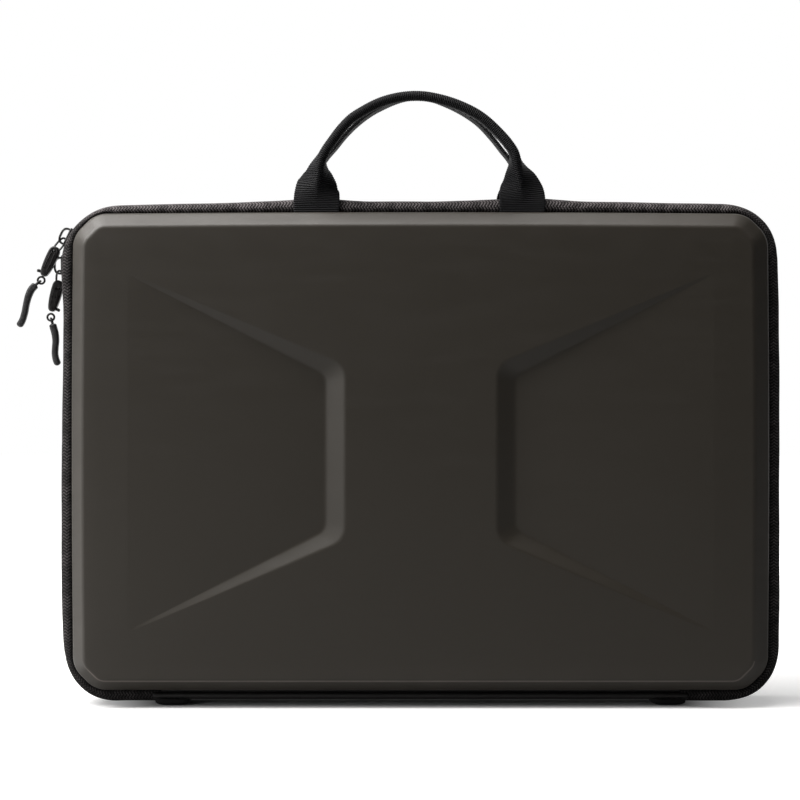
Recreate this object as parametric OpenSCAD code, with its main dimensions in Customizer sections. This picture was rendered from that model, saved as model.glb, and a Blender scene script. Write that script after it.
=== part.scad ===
// Hard laptop case: two moulded shells joined by a woven zipper band, with two webbing handles.
// X runs along the case, Y from the front shell to the rear one, Z up. The case stands on its hinge
// edge, on four folded end covers at z = 0, and the origin is on the floor under its middle.

/* [Shells] */
// Width of a shell at its seam
shell_w = 380; // [330:1:430]
// Height of a shell at its seam
shell_h = 260; // [220:1:300]
// Depth of each shell, from the seam to its flat face
shell_depth = 12; // [11:0.5:20]
// Height of a shell's lower edge above the floor
shell_lift = 8; // [6.5:0.5:12]
// Wall of a shell round its sides
shell_wall = 4; // [3:0.5:5]
// Thickness of a shell behind its flat face
face_wall = 6.5; // [5.5:0.5:8]
// Length cut from each side by a clipped corner
corner_clip = 17; // [12:0.5:26]
// Radius at the ends of a corner's clipped edge
corner_round = 20; // [10:1:24]
// Width of the chamfer round the flat face
chamfer_w = 8.5; // [5:0.5:12]
// Depth of that chamfer
chamfer_depth = 7; // [5:0.5:8]
// Radius where the chamfer meets the side and the face
edge_round = 3.2; // [1:0.2:4]

/* [Sunken panels] */
// Distance from the middle to a panel's outer tips
panel_tip_x = 158; // [130:1:165]
// Half of a panel's height at its tips
panel_tip_z = 97; // [70:1:105]
// Half of the width left raised in the middle
panel_waist_x = 41; // [30:1:60]
// Half of a panel's height at the waist
panel_waist_z = 47; // [35:1:60]
// Depth of a panel at the waist
panel_depth = 4.2; // [1:0.2:4.4]
// Width of the sloping strip at the waist
panel_slope = 10; // [6:0.5:16]
// Radius of a panel's inner corners
panel_round = 11; // [4:0.5:16]

/* [Zipper band] */
// Distance between the two shell seams
band_depth = 20; // [16:1:30]
// How far the band stands out beyond the shells
band_proud = 5; // [4:0.5:6]
// Radius of the band's corners
band_round = 31.5; // [26:0.5:40]
// Thickness of the zipper tape
tape_t = 1.4; // [1:0.1:2]
// Thickness of the binding that joins shell and tape
binding_t = 1.7; // [1.2:0.1:3]
// Width of one half of the zipper coil
coil_w = 2.8; // [2:0.2:4]
// Height of the coil over the tape
coil_h = 0.8; // [0.6:0.1:1.2]
// Gap between the front half and the rear half
half_gap = 0.4; // [0.3:0.1:0.8]

/* [Spine and end covers] */
// Distance from the side of the band to each end of the fabric spine
spine_inset = 50; // [45:1:75]
// Thickness of the spine
spine_t = 2; // [1.5:0.1:3]
// Height of the spine above the floor, which is the thickness of an end cover under it
cover_t = 2.4; // [1.6:0.1:2.5]
// Width of an end cover
cover_w = 18.6; // [14:0.2:26]
// Thickness of the flap that an end cover turns up over the seam
flap_t = 1.5; // [1:0.1:2]

/* [Lining and storage] */
// Thickness of the fabric lining
lining_t = 1.5; // [1:0.1:2]
// Width of the mesh pocket in the front shell
pocket_w = 300; // [200:5:320]
// Height of the mesh pocket
pocket_h = 150; // [100:5:190]
// Thickness of the mesh
mesh_t = 0.8; // [0.6:0.1:1]
// Width of the tape sewn round the mesh
pocket_trim_w = 10; // [6:1:14]
// Width of the mesh pocket's elastic hem
hem_w = 14; // [8:1:20]
// Width of an elastic corner strap
elastic_w = 20; // [12:1:26]
// Thickness of an elastic corner strap
elastic_t = 1.2; // [0.8:0.1:1.6]
// Length of an elastic corner strap
elastic_len = 86; // [60:1:110]

/* [Handles] */
// Distance from the middle to each handle tab
tab_x = 56; // [45:1:75]
// Width of the webbing
web_w = 25; // [20:1:32]
// Thickness of a sewn tab
tab_t = 2.6; // [1.6:0.1:3]
// Height of a tab above the shell, up to where the webbing folds
tab_h = 17; // [12:1:24]
// Height of a handle's crown above the shell
crown_h = 66; // [50:1:90]
// Thickness of the folded grip
grip_t = 6.5; // [5:0.5:9]
// Width of the folded grip
grip_w = 12.5; // [10:0.5:14]

/* [Sliders and pulls] */
// Length of a slider
slider_len = 11; // [9:0.5:14]
// Width of a slider
slider_w = 8.8; // [8:0.2:11]
// Angle of the upper slider round the band's corner
upper_angle = 25; // [22:1:35]
// How far below the band's upper corner the lower slider is parked
lower_drop = 3.7; // [3.5:0.1:120]
// Radius of the bail wire
wire_r = 0.6; // [0.4:0.05:0.7]
// Length of a bail between its two pivots
bail_len = 8; // [7:0.5:10]
// Length of a snap hook between its hole and its ring
hook_len = 17.2; // [15:0.2:22]
// Thickness of a snap hook
hook_t = 5.3; // [4.8:0.1:6]
// Width of a snap hook and of its tail
hook_w = 4.4; // [4:0.1:4.6]
// Length of a rubber tail
tail_len = 27; // [20:1:34]
// Thickness of a rubber tail
tail_t = 3.5; // [2.6:0.1:4]
// How far a rubber tail waves to each side
tail_wave = 1.1; // [0:0.1:1.3]

/* [Hidden] */

face_color = [0.20, 0.19, 0.18];
fabric_color = [0.12, 0.12, 0.12];
lining_color = [0.22, 0.22, 0.23];
metal_color = [0.25, 0.25, 0.26];
rubber_color = [0.08, 0.08, 0.09];

seam_y = band_depth / 2;
mid_z = shell_lift + shell_h / 2;
shell_top = shell_lift + shell_h;
side_h = shell_depth - chamfer_depth;
band_x = shell_w / 2 + band_proud;
band_low = shell_lift - band_proud;
band_top = shell_top + band_proud;
corner_x = band_x - band_round;
corner_z = band_top - band_round;
half_y = half_gap / 2;
spine_len = 2 * (band_x - spine_inset);
binding_low = band_low + coil_h + tape_t;
cover_round = 3;
lower_z = corner_z - lower_drop;
cut = 1;
turn_steps = 4;
diagonal = 2 - sqrt(2);

lining_y = seam_y + shell_depth - face_wall - lining_t;
elastic_lift = 1.8;
elastic_foot = 12;
pocket_lift = 0.6;
pocket_low = shell_lift + 30;

grip_power = 2.6;
grip_steps = 24;
grip_end_x = tab_x + 3.5;
crown_drop = 39.5;
tab_y = seam_y + tab_t / 2;
pivot_z = shell_top + 4;
root_h = 1.8;
root_gap = 1.5;

run_gap = 0.4;
plate_t = 0.8;
arch_t = 2.4;
arch_h = 4.6;
arch_len = 8.6;
hole_r = 1;
eye_x = 2.7;
eye_z = -arch_len / 2 + 2.2;
bail_half = 5.8;
lane_y = 0.4 + hook_w / 2;
ring_r = 1.9;
ring_wire = 0.6;
upper_bail_tilt = 38;
upper_hook_tilt = 23;
upper_tail_tilt = 25;
lower_bail_tilt = 8;
lower_hook_tilt = 11;
lower_tail_tilt = -9;

// ---- outlines: points as [x, z], corners as [x, z, radius]

function unit(v) = v / norm(v);
function flat2(p) = [p.x, p.y];

// Points of the arc that rounds corner b on the way from a to c.
function corner_arc(a, b, c, n) =
    let (
        u = unit(flat2(a) - flat2(b)),
        v = unit(flat2(c) - flat2(b)),
        half = acos(u * v) / 2,
        middle = flat2(b) + unit(u + v) * b.z / sin(half),
        from = flat2(b) + u * b.z / tan(half) - middle,
        to = flat2(b) + v * b.z / tan(half) - middle,
        turn = 180 - 2 * half
    )
    [for (i = [0:n]) middle + (sin(turn * (1 - i / n)) * from + sin(turn * i / n) * to) / sin(turn)];

function rounded(corners, n) =
    let (count = len(corners))
    [for (i = [0:count - 1]) each corner_arc(
        corners[(i + count - 1) % count], corners[i], corners[(i + 1) % count], n)];

function rounded_path(corners, n) = [
    flat2(corners[0]),
    for (i = [1:len(corners) - 2]) each corner_arc(corners[i - 1], corners[i], corners[i + 1], n),
    flat2(corners[len(corners) - 1])
];

// The shell's outline drawn in by inset, counter-clockwise as seen from the front.
function shell_outline(inset) =
    let (
        x = shell_w / 2 - inset,
        low = shell_lift + inset,
        high = shell_top - inset,
        clip = corner_clip - inset * diagonal,
        r = max(corner_round - inset, 6)
    )
    rounded([
        [-x + clip, low, r], [x - clip, low, r], [x, low + clip, r], [x, high - clip, r],
        [x - clip, high, r], [-x + clip, high, r], [-x, high - clip, r], [-x, low + clip, r]
    ], turn_steps);

// Curve of a handle's middle line: [x, z] at a distance x from the middle.
function grip_z(x) = shell_top + crown_h - grip_t / 2
    - crown_drop * pow(abs(x) / grip_end_x, grip_power);

// Outline of a strip of thickness t along a line of points.
function strip(points, t) =
    let (
        last = len(points) - 1,
        side = [for (i = [0:last])
            let (along = unit(points[min(i + 1, last)] - points[max(i - 1, 0)]))
            [-along.y, along.x] * t / 2]
    )
    concat([for (i = [0:last]) points[i] + side[i]], [for (i = [last:-1:0]) points[i] - side[i]]);

// ---- shared shapes

// Extrudes a shape drawn in x and z from y = from to y = to.
module slab(from, to) {
    translate([0, to, 0]) rotate([90, 0, 0]) linear_extrude(to - from) children();
}

// Solid through rings with equally many points, from the front one to the rear one.
module loft(rings) {
    n = len(rings[0]);
    last = len(rings) - 1;
    polyhedron(
        points = [for (ring = rings) each ring],
        faces = concat(
            [[for (i = [n - 1:-1:0]) i]],
            [[for (i = [0:n - 1]) last * n + i]],
            [for (k = [0:last - 1]) for (i = [0:n - 1])
                each [
                    [k * n + i, k * n + (i + 1) % n, (k + 1) * n + (i + 1) % n],
                    [k * n + i, (k + 1) * n + (i + 1) % n, (k + 1) * n + i]
                ]]
        ),
        convexity = 8
    );
}

// Profile steps [inset, distance from the seam] turned into rings of a front shell.
function shell_rings(profile) = [
    for (step = profile) [for (p = shell_outline(step.x)) [p.x, -seam_y - step.y, p.y]]
];

// Outer skin of a front shell, from its flat face back to the seam.
function outer_profile() = rounded_path([
    [chamfer_w + 2 * edge_round, shell_depth, 0],
    [chamfer_w, shell_depth, edge_round],
    [0, side_h, edge_round],
    [0, 0, 0]
], turn_steps);

// Inner skin at a distance t inside the shell's own inner skin, from the face to past the seam.
function inner_profile(t, past) = [
    [shell_wall + chamfer_w - 2 + t, shell_depth - face_wall - t],
    [shell_wall + t, side_h - 1 - t / 2],
    [shell_wall + t, -past]
];

module shell_body() {
    difference() {
        loft(shell_rings(outer_profile()));
        loft(shell_rings(inner_profile(0, cut)));
    }
}

// One sunken panel on the left: a plane that sinks towards the waist, with a sloping rim.
module panel_cut() {
    face_y = -seam_y - shell_depth;
    floor_x = panel_waist_x + panel_slope;
    floor_z = panel_waist_z - panel_slope / 2;
    top = rounded([
        [-panel_tip_x, -panel_tip_z, 2], [-panel_waist_x, -panel_waist_z, panel_round],
        [-panel_waist_x, panel_waist_z, panel_round], [-panel_tip_x, panel_tip_z, 2]
    ], turn_steps);
    bottom = rounded([
        [-panel_tip_x, -panel_tip_z, 2], [-floor_x, -floor_z, panel_round * 0.7],
        [-floor_x, floor_z, panel_round * 0.7], [-panel_tip_x, panel_tip_z, 2]
    ], turn_steps);
    loft([
        [for (p = top) [p.x, face_y - cut, mid_z + p.y]],
        [for (p = top) [p.x, face_y, mid_z + p.y]],
        [for (p = bottom) [
            p.x,
            face_y + 0.01 + panel_depth * (panel_tip_x + p.x) / (panel_tip_x - floor_x),
            mid_z + p.y
        ]]
    ]);
}

// Lining of one shell: it covers the inside up to the binding.
module lining_body() {
    difference() {
        loft(shell_rings(inner_profile(0.05, binding_t)));
        loft(shell_rings(inner_profile(lining_t, binding_t + cut)));
    }
}

// The band's rounded outline, drawn in by inset.
module band_outline(inset) {
    x = band_x - inset;
    r = band_round - inset;
    low = band_low + inset;
    high = band_top - inset;
    union() {
        translate([-x, low + r]) square([2 * x, high - low - 2 * r]);
        translate([-x + r, low]) square([2 * (x - r), high - low]);
        for (side = [-1, 1]) {
            translate([side * (x - r), low + r]) circle(r, $fn = 96);
            translate([side * (x - r), high - r]) circle(r, $fn = 96);
        }
    }
}

// A strip along the band's sides and top, left open where the spine runs.
module band_strip(outer, inner, from, to) {
    slab(from, to) difference() {
        band_outline(outer);
        band_outline(inner);
        translate([-spine_len / 2 - half_gap, band_low - cut])
            square([spine_len + 2 * half_gap, shell_lift]);
    }
}

module binding_body() {
    slab(-seam_y, -seam_y + binding_t) difference() {
        band_outline(coil_h + tape_t);
        polygon(shell_outline(shell_wall));
    }
}

module tape_body() {
    band_strip(coil_h, coil_h + tape_t, -seam_y, -half_y);
}

module coil_body() {
    band_strip(0, coil_h, -half_y - coil_w, -half_y);
}

// Half of the fabric spine, between the end covers, up to the seam that it is sewn along.
module spine_body() {
    length = spine_len - 2 * cover_w;
    translate([-length / 2, 0, 0]) rotate([90, 0, 90]) linear_extrude(length) polygon([
        [-seam_y, cover_t], [-half_y, cover_t], [-half_y, cover_t + spine_t],
        [-seam_y + binding_t, cover_t + spine_t], [-seam_y + binding_t, binding_low],
        [-seam_y, binding_low]
    ]);
}

// Half of a folded end cover: a foot round the end of the spine, with a flap turned up over the seam.
module cover_body(side) {
    start = side < 0 ? -spine_len / 2 : spine_len / 2 - cover_w;
    outer = -seam_y - flap_t;
    turn = rounded_path([[outer, shell_lift, 0], [outer, 0, cover_round], [-half_y, 0, 0]], 6);
    translate([start, 0, 0]) rotate([90, 0, 90]) linear_extrude(cover_w) polygon(concat(turn, [
        [-half_y, cover_t + spine_t], [-seam_y + binding_t, cover_t + spine_t],
        [-seam_y + binding_t, binding_low], [-seam_y, binding_low], [-seam_y, shell_lift]
    ]));
}

module tab_root(side) {
    translate([side * tab_x - web_w / 2, -seam_y - tab_t, shell_top])
        cube([web_w, tab_t, root_h]);
}

// A carrying handle: two sewn tabs that fold into a thick stitched grip.
module handle_body() {
    tab_low = pivot_z + root_gap;
    tab_top = shell_top + tab_h;
    arch = [for (i = [-grip_steps:grip_steps])
        let (x = grip_end_x * i / grip_steps) [x, grip_z(x)]];
    slab(-tab_y - grip_w / 2, -tab_y + grip_w / 2) polygon(strip(arch, grip_t));
    for (side = [-1, 1]) {
        translate([side * tab_x - web_w / 2, -tab_y - tab_t / 2, tab_low])
            cube([web_w, tab_t, tab_top - tab_low]);
        hull() {
            translate([side * tab_x - web_w / 2, -tab_y - tab_t / 2, tab_top - 1])
                cube([web_w, tab_t, 1]);
            translate([side * grip_end_x - grip_t / 2, -tab_y - grip_w / 2, grip_z(grip_end_x)])
                cube([grip_t, grip_w, 1.5]);
        }
    }
}

// ---- storage inside

module mesh_body() {
    translate([-pocket_w / 2, -lining_y + pocket_lift, pocket_low])
        cube([pocket_w, mesh_t, pocket_h]);
}

module pocket_trim_body() {
    slab(-lining_y, -lining_y + pocket_lift) difference() {
        translate([-pocket_w / 2, pocket_low]) square([pocket_w, pocket_h]);
        translate([-pocket_w / 2 + pocket_trim_w, pocket_low + pocket_trim_w])
            square([pocket_w - 2 * pocket_trim_w, pocket_h]);
    }
}

module pocket_hem_body() {
    translate([-pocket_w / 2, -lining_y + pocket_lift + mesh_t, pocket_low + pocket_h - hem_w])
        cube([pocket_w, mesh_t, hem_w]);
}

// An elastic strap across one corner of the rear lining, sewn down at both ends.
module elastic(side, up) {
    flat_inset = shell_wall + chamfer_w + lining_t;
    half_span = (elastic_len + elastic_w) / 2 / sqrt(2);
    low_y = lining_y - elastic_lift - elastic_t;
    translate([
        side * (shell_w / 2 - flat_inset - half_span), 0,
        mid_z + up * (shell_h / 2 - flat_inset - half_span)
    ]) rotate([0, side * up > 0 ? -45 : 45, 0]) {
        translate([-elastic_w / 2, low_y, -elastic_len / 2])
            cube([elastic_w, elastic_t, elastic_len]);
        for (end = [-1, 1]) translate([
            -elastic_w / 2,
            low_y + elastic_t,
            end * (elastic_len - elastic_foot) / 2 - elastic_foot / 2
        ]) cube([elastic_w, elastic_lift, elastic_foot]);
    }
}

// ---- sliders and pulls: x = 0 is the coil's outer surface, -x is outwards

// Puts a piece on the band's upper left corner, an angle round from the side.
module on_corner(angle) {
    translate([-corner_x, 0, corner_z]) rotate([0, angle, 0]) translate([-band_round, 0, 0])
        children();
}

module on_side(z) {
    translate([-band_x, 0, z]) children();
}

// Slider: a plate over the coil, a flange behind the rear half of the coil and an arched bridge.
// mouth is 1 where the wide end is up and -1 where it is down.
module slider_body(mouth) {
    wide = slider_w / 2;
    narrow = wide - 0.9;
    half = slider_len / 2;
    low = mouth > 0 ? narrow : wide;
    high = mouth > 0 ? wide : narrow;
    translate([-run_gap, 0, 0]) rotate([0, -90, 0]) linear_extrude(plate_t) polygon(rounded([
        [-half, -low, 1.2], [half, -high, 1.2], [half, high, 1.2], [-half, low, 1.2]
    ], turn_steps));
    translate([-run_gap - plate_t, half_y + coil_w + run_gap, -half + 2])
        cube([plate_t + run_gap * 2, 0.7, slider_len - 4]);
    slab(-arch_t / 2, arch_t / 2) difference() {
        polygon(rounded([
            [-run_gap - plate_t / 2, arch_len / 2, 0.1], [-arch_h, arch_len / 2, 2],
            [-arch_h, -arch_len / 2, 2], [-run_gap - plate_t / 2, -arch_len / 2, 0.1]
        ], turn_steps));
        translate([-eye_x - hole_r, eye_z]) square([2 * hole_r, -2 * eye_z]);
        for (z = [eye_z, -eye_z]) translate([-eye_x, z]) circle(hole_r, $fn = 32);
    }
}

// Moves a piece to a slider's eye.
module at_eye() {
    translate([-eye_x, 0, eye_z]) children();
}

// Hangs a piece from a pivot, tilted outwards.
module hang(tilt) {
    rotate([0, tilt, 0]) children();
}

// Wire bail: a rectangle of wire through the slider's eye and the hook's hole.
module bail_body() {
    for (z = [0, -bail_len]) {
        translate([0, 0, z]) rotate([90, 0, 0])
            cylinder(h = 2 * bail_half, r = wire_r, center = true, $fn = 24);
        for (side = [-1, 1]) translate([0, side * bail_half, z]) sphere(wire_r, $fn = 24);
    }
    for (side = [-1, 1]) translate([0, side * bail_half, -bail_len])
        cylinder(h = bail_len, r = wire_r, $fn = 24);
}

bolt_low = -13.4;
bolt_len = 2;
bolt_travel = 2.4;
slot_w = 2.4;
slot_depth = 1.5;

// Snap hook: a rounded bar with a hole for the bail, a slot for its thumb bolt and a ring below.
module hook_body(bolt_side) {
    length = hook_len - ring_r;
    difference() {
        slab(-hook_w / 2, hook_w / 2) difference() {
            union() {
                circle(hook_t / 2, $fn = 48);
                translate([-hook_t / 2, -length + hook_t / 2]) square([hook_t, length - hook_t / 2]);
                translate([0, -length + hook_t / 2]) circle(hook_t / 2, $fn = 48);
            }
            circle(hole_r, $fn = 32);
        }
        translate([
            bolt_side > 0 ? hook_t / 2 - slot_depth : -hook_t / 2 - cut,
            -slot_w / 2,
            bolt_low - run_gap
        ]) cube([slot_depth + cut, slot_w, bolt_len + bolt_travel + 2 * run_gap]);
    }
    translate([0, 0, -hook_len]) rotate([90, 0, 0]) rotate_extrude($fn = 48)
        translate([ring_r, 0]) circle(ring_wire, $fn = 24);
}

// Thumb bolt: it slides up its slot.
module bolt_body(bolt_side) {
    inner = hook_t / 2 - slot_depth + run_gap;
    outer = hook_t / 2 + 1.7;
    from = bolt_side > 0 ? inner : -outer;
    translate([from, -slot_w / 2 + run_gap, bolt_low])
        cube([outer - inner, slot_w - 2 * run_gap, bolt_len]);
}

// Rubber tail: two cheeks and a pin through the hook's ring, then a waving strip.
module tail_body(wave) {
    cheek_in = ring_wire + run_gap;
    neck = ring_r + ring_wire + run_gap;
    steps = 16;
    middle = [for (i = [0:steps])
        [wave * sin(360 * i / steps), -neck - (tail_len - neck) * i / steps]];
    rotate([90, 0, 0]) cylinder(h = hook_w - 0.4, r = 0.75, center = true, $fn = 24);
    for (side = [-1, 1]) slab(
        side > 0 ? cheek_in : -hook_w / 2,
        side > 0 ? hook_w / 2 : -cheek_in
    ) {
        circle(tail_t / 2, $fn = 32);
        translate([-tail_t / 2, -neck - 1]) square([tail_t, neck + 1]);
    }
    slab(-hook_w / 2, hook_w / 2) {
        polygon(strip(middle, tail_t));
        translate(middle[steps]) circle(tail_t / 2, $fn = 32);
    }
}

module pull_hook(bail_tilt, hook_tilt, lane) {
    at_eye() hang(bail_tilt) translate([0, 0, -bail_len]) hang(hook_tilt - bail_tilt)
        translate([0, lane, 0]) children();
}

module pull_tail(bail_tilt, hook_tilt, tail_tilt, lane) {
    pull_hook(bail_tilt, hook_tilt, lane) translate([0, 0, -hook_len])
        hang(tail_tilt - hook_tilt) children();
}

// ---- the nodes

module shell_front() color(face_color) difference() {
    shell_body();
    panel_cut();
    mirror([1, 0, 0]) panel_cut();
}
module shell_rear() color(face_color) mirror([0, 1, 0]) shell_body();
module lining_front() color(lining_color) lining_body();
module lining_rear() color(lining_color) mirror([0, 1, 0]) lining_body();
module binding_front() color(fabric_color) binding_body();
module binding_rear() color(fabric_color) mirror([0, 1, 0]) binding_body();
module tape_front() color(fabric_color) tape_body();
module tape_rear() color(fabric_color) mirror([0, 1, 0]) tape_body();
module coil_front() color(rubber_color) coil_body();
module coil_rear() color(rubber_color) mirror([0, 1, 0]) coil_body();
module spine_front() color(fabric_color) spine_body();
module spine_rear() color(fabric_color) mirror([0, 1, 0]) spine_body();
module cover_left_front() color(fabric_color) cover_body(-1);
module cover_right_front() color(fabric_color) cover_body(1);
module cover_left_rear() color(fabric_color) mirror([0, 1, 0]) cover_body(-1);
module cover_right_rear() color(fabric_color) mirror([0, 1, 0]) cover_body(1);
module tab_front_left() color(fabric_color) tab_root(-1);
module tab_front_right() color(fabric_color) tab_root(1);
module tab_rear_left() color(fabric_color) mirror([0, 1, 0]) tab_root(-1);
module tab_rear_right() color(fabric_color) mirror([0, 1, 0]) tab_root(1);
module handle_front() color(fabric_color) handle_body();
module handle_rear() color(fabric_color) mirror([0, 1, 0]) handle_body();
module mesh_pocket() color(fabric_color) mesh_body();
module pocket_trim() color(fabric_color) pocket_trim_body();
module pocket_hem() color(rubber_color) pocket_hem_body();
module elastic_top_left() color(rubber_color) elastic(-1, 1);
module elastic_top_right() color(rubber_color) elastic(1, 1);
module elastic_bottom_left() color(rubber_color) elastic(-1, -1);
module elastic_bottom_right() color(rubber_color) elastic(1, -1);
module slider_upper() color(metal_color) on_corner(upper_angle) slider_body(-1);
module slider_lower() color(metal_color) on_side(lower_z) slider_body(1);
module bail_upper() color(metal_color)
    on_corner(upper_angle) at_eye() hang(upper_bail_tilt - upper_angle) bail_body();
module bail_lower() color(metal_color) on_side(lower_z) at_eye() hang(lower_bail_tilt) bail_body();
module hook_upper() color(rubber_color) on_corner(upper_angle)
    pull_hook(upper_bail_tilt - upper_angle, upper_hook_tilt - upper_angle, -lane_y) hook_body(-1);
module hook_lower() color(rubber_color) on_side(lower_z)
    pull_hook(lower_bail_tilt, lower_hook_tilt, lane_y) hook_body(1);
module bolt_upper() color(metal_color) on_corner(upper_angle)
    pull_hook(upper_bail_tilt - upper_angle, upper_hook_tilt - upper_angle, -lane_y) bolt_body(-1);
module bolt_lower() color(metal_color) on_side(lower_z)
    pull_hook(lower_bail_tilt, lower_hook_tilt, lane_y) bolt_body(1);
module tail_upper() color(rubber_color) on_corner(upper_angle) pull_tail(
    upper_bail_tilt - upper_angle, upper_hook_tilt - upper_angle, upper_tail_tilt - upper_angle,
    -lane_y) tail_body(-tail_wave);
module tail_lower() color(rubber_color) on_side(lower_z) pull_tail(
    lower_bail_tilt, lower_hook_tilt, lower_tail_tilt, lane_y) tail_body(tail_wave);

shell_front();
shell_rear();
lining_front();
lining_rear();
binding_front();
binding_rear();
tape_front();
tape_rear();
coil_front();
coil_rear();
spine_front();
spine_rear();
cover_left_front();
cover_left_rear();
cover_right_front();
cover_right_rear();
tab_front_left();
tab_front_right();
tab_rear_left();
tab_rear_right();
handle_front();
handle_rear();
mesh_pocket();
pocket_trim();
pocket_hem();
elastic_top_left();
elastic_top_right();
elastic_bottom_left();
elastic_bottom_right();
slider_upper();
bail_upper();
hook_upper();
bolt_upper();
tail_upper();
slider_lower();
bail_lower();
hook_lower();
bolt_lower();
tail_lower();
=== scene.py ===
"""Hard laptop case: two moulded shells, a woven zipper band, webbing handles and two snap-hook pulls.

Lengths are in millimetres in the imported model's frame, and turned into metres where a mesh is made.
Front pieces have negative y and rear ones positive y.
"""

import math

import bmesh
import bpy
import numpy as np
from mathutils import Matrix, Vector
from mathutils.geometry import delaunay_2d_cdt


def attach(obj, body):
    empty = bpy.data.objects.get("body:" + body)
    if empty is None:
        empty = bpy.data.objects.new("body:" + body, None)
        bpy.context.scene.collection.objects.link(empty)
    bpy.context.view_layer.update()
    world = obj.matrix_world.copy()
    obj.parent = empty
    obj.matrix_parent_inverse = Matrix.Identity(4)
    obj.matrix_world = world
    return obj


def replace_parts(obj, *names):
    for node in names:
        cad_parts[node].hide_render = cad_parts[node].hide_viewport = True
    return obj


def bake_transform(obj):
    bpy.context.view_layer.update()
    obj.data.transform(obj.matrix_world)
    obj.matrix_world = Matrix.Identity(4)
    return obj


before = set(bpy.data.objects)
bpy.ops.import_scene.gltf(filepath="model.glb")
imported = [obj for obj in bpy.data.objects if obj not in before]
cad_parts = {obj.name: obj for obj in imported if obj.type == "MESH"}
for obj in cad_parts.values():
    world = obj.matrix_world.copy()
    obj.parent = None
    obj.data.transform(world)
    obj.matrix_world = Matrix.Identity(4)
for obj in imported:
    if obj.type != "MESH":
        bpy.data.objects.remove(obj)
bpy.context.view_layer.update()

MM = 0.001
FRONT, REAR = -1, 1
BODIES = {FRONT: "front_half", REAR: "rear_half"}
NAMES = {FRONT: "front", REAR: "rear"}
# Weld distance of threads and other fine pieces.
FINE = 0.0005

# ---------------- sizes, in mm

SHELL_X, SHELL_LOW, SHELL_TOP = 187.9, 9.3, 266.9
MID_Z = 138.0
SIDE_Y, FACE_Y = 15.0, 22.0
CLIP, CORNER_R, CHAMFER = 12.0, 15.0, 8.5
BAND_X, BAND_LOW, BAND_TOP, BAND_R = 195.0, 3.0, 273.0, 31.5
CORNER_X, CORNER_Z = BAND_X - BAND_R, BAND_TOP - BAND_R

# ---------------- small maths


def unit(v):
    return np.asarray(v, float) / np.linalg.norm(v)


def smooth(t):
    t = np.clip(t, 0, 1)
    return t * t * (3 - 2 * t)


def bell(x, middle, width):
    return np.exp(-(((x - middle) / width) ** 2))


def circle(n):
    """n points of the unit circle."""
    turns = np.linspace(0, 2 * math.pi, n + 1)[:-1]
    return np.stack([np.cos(turns), np.sin(turns)], 1)


def corner_arc(a, b, c, n):
    """Points of the arc that rounds corner b, of (x, z, radius), on the way from a to c."""
    r = b[2]
    a, b, c = (np.asarray(p[:2], float) for p in (a, b, c))
    if not r:
        return [b]
    u, v = unit(a - b), unit(c - b)
    half = math.acos(float(np.clip(u @ v, -1, 1))) / 2
    middle = b + unit(u + v) * r / math.sin(half)
    p, q = b + u * r / math.tan(half) - middle, b + v * r / math.tan(half) - middle
    turn = math.pi - 2 * half
    return [
        middle + (math.sin(turn * (1 - i / n)) * p + math.sin(turn * i / n) * q) / math.sin(turn)
        for i in range(n + 1)
    ]


def between(p, q, cuts):
    """The points that cut the straight from p to q into cuts + 1 parts."""
    return [p + (q - p) * k / (cuts + 1) for k in range(1, cuts + 1)]


def closed_outline(corners, n, cuts):
    """A closed outline through corners (x, z, radius), with cuts[i] more points on each straight."""
    count, out = len(corners), []
    arcs = [corner_arc(corners[i - 1], corners[i], corners[(i + 1) % count], n) for i in range(count)]
    for i, arc in enumerate(arcs):
        out += arc + between(arc[-1], arcs[(i + 1) % count][0], cuts[i])
    return np.array(out)


def open_path(corners, n, step):
    """A line through corners (x, z, radius), rounded, with a point at least every step."""
    out = [np.array(corners[0][:2], float)]
    arcs = [corner_arc(a, b, c, n) for a, b, c in zip(corners, corners[1:], corners[2:])]
    for arc in [*arcs, [np.array(corners[-1][:2], float)]]:
        cuts = int(np.linalg.norm(arc[0] - out[-1]) // step)
        out += between(out[-1], arc[0], cuts) + arc
    return np.array(out)


def fillet(points, n=5):
    """Rounds a profile of (inset, y, radius) steps."""
    return list(open_path(points, n, math.inf))


def lengths(points, closed=False):
    """Running length along points, with one more value for a closed line."""
    points = np.asarray(points, float)
    if closed:
        points = np.append(points, points[:1], 0)
    return np.concatenate([[0], np.cumsum(np.linalg.norm(np.diff(points, axis=0), axis=1))])


def headings(line, closed=False):
    """Unit vectors along a line."""
    along = np.roll(line, -1, 0) - np.roll(line, 1, 0) if closed else np.gradient(line, axis=0)
    return along / np.linalg.norm(along, axis=1)[:, None]


def square_to(line, closed=False):
    """Unit vectors across a line of x and z, on its right-hand side."""
    return headings(line, closed)[:, ::-1] * [1, -1]


def resample(points, spacing):
    """A smooth line through points, cut into equal steps of about spacing."""
    points = np.asarray(points, float)
    s = lengths(points)
    tangent = np.gradient(points, s, axis=0)
    at = np.linspace(0, s[-1], int(round(s[-1] / spacing)) + 1)
    k = np.clip(np.searchsorted(s, at) - 1, 0, len(s) - 2)
    h = (s[k + 1] - s[k])[:, None]
    t = ((at - s[k]) / h[:, 0])[:, None]
    return (
        (2 * t**3 - 3 * t**2 + 1) * points[k]
        + (t**3 - 2 * t**2 + t) * h * tangent[k]
        + (-2 * t**3 + 3 * t**2) * points[k + 1]
        + (t**3 - t**2) * h * tangent[k + 1]
    )


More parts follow.
